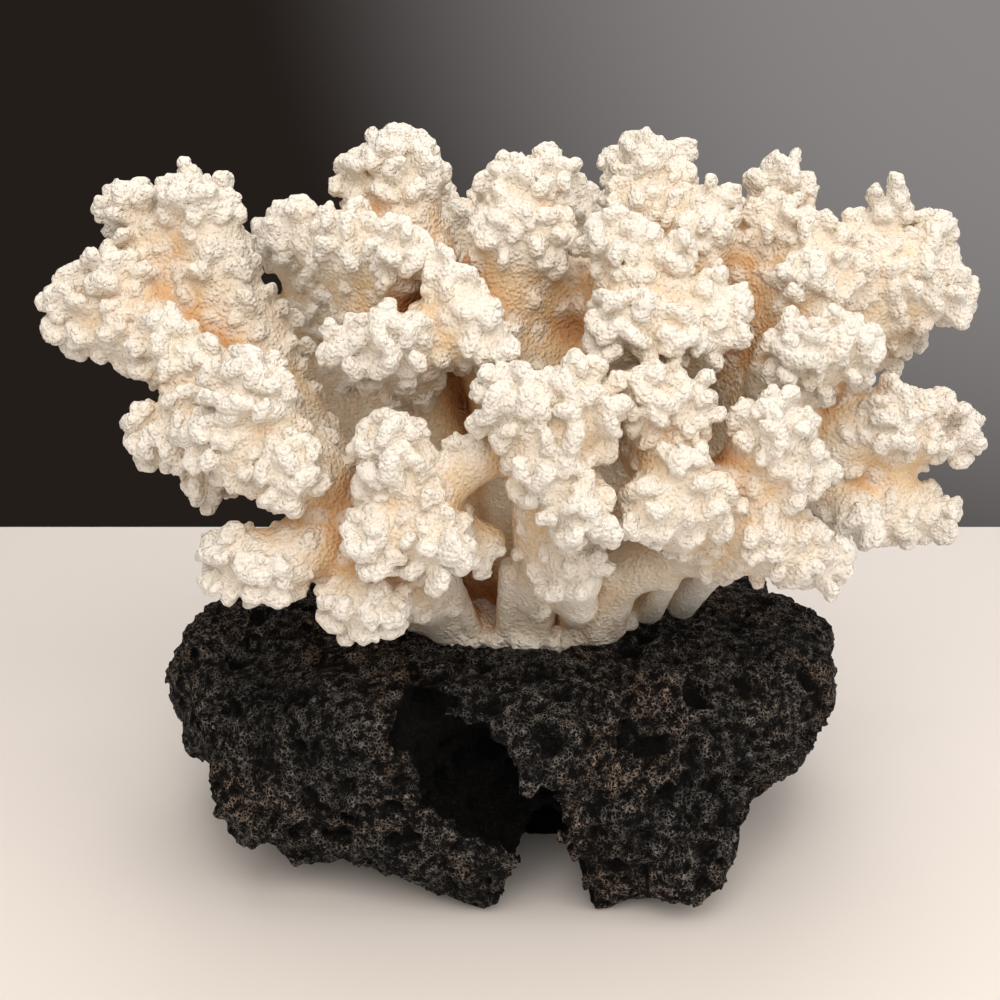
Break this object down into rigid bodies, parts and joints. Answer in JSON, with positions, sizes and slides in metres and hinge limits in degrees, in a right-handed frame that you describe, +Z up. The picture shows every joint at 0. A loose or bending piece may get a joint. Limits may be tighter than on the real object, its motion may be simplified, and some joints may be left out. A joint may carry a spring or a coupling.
{
  "type": "branching coral",
  "caption": "Bleached branching coral colony with lobed, knobbly tips, standing on the rough block of black lava rock it is fixed to.",
  "frame": {"origin": "the middle of the whole object seen from above, on the floor under the rock's feet", "axes": "+Z up; +X along the colony's long side, to the right as seen from its front; the front faces -Y"},
  "size_m": [0.2396, 0.1555, 0.1902],
  "materials": {
    "bleached_coral": "dry, matt, finely pitted lime skeleton, bright white at the tips and warm cream lower down",
    "lava": "rough, matt, full of small gas holes"
  },
  "bodies": {
    "root": {"lava_rock": "lava", "coral_foot": "bleached_coral", "column_left": "bleached_coral", "column_front": "bleached_coral", "column_right_inner": "bleached_coral", "column_right_outer": "bleached_coral", "trunk_left": "bleached_coral", "trunk_left_front": "bleached_coral", "trunk_centre": "bleached_coral", "trunk_middle": "bleached_coral", "trunk_front": "bleached_coral", "trunk_right_front": "bleached_coral", "trunk_right": "bleached_coral", "trunk_top_right": "bleached_coral", "trunk_back_left": "bleached_coral", "trunk_back": "bleached_coral", "trunk_back_right": "bleached_coral", "branch_far_left": "bleached_coral", "branch_upper_left": "bleached_coral", "branch_left": "bleached_coral", "branch_left_low": "bleached_coral", "branch_left_front": "bleached_coral", "branch_lower_left": "bleached_coral", "branch_low_front_left": "bleached_coral", "branch_front_left": "bleached_coral", "branch_upper_left_front": "bleached_coral", "branch_top_left_front": "bleached_coral", "branch_top_left": "bleached_coral", "branch_top_middle": "bleached_coral", "branch_front_ridge": "bleached_coral", "branch_centre_front": "bleached_coral", "branch_front_stub": "bleached_coral", "branch_front_right_up": "bleached_coral", "branch_front_right_mid": "bleached_coral", "branch_front_right": "bleached_coral", "branch_low_front_right": "bleached_coral", "branch_low_right": "bleached_coral", "branch_far_right": "bleached_coral", "branch_right_shelf": "bleached_coral", "branch_right_fan": "bleached_coral", "branch_right_fingers": "bleached_coral", "branch_top_right_middle": "bleached_coral", "branch_upper_front": "bleached_coral", "branch_top_right_small": "bleached_coral", "branch_right_knobs": "bleached_coral", "branch_top_right": "bleached_coral", "branch_right_crown": "bleached_coral", "branch_back_left_low": "bleached_coral", "branch_back_left": "bleached_coral", "branch_back_left_top": "bleached_coral", "branch_back_left_inner": "bleached_coral", "branch_back_top": "bleached_coral", "branch_back": "bleached_coral", "branch_back_low": "bleached_coral", "branch_back_right_top": "bleached_coral", "branch_back_right": "bleached_coral", "branch_back_right_low": "bleached_coral", "branch_back_right_side": "bleached_coral", "branch_back_right_crown": "bleached_coral", "branch_right_back_low": "bleached_coral"}
  },
  "joints": []
}
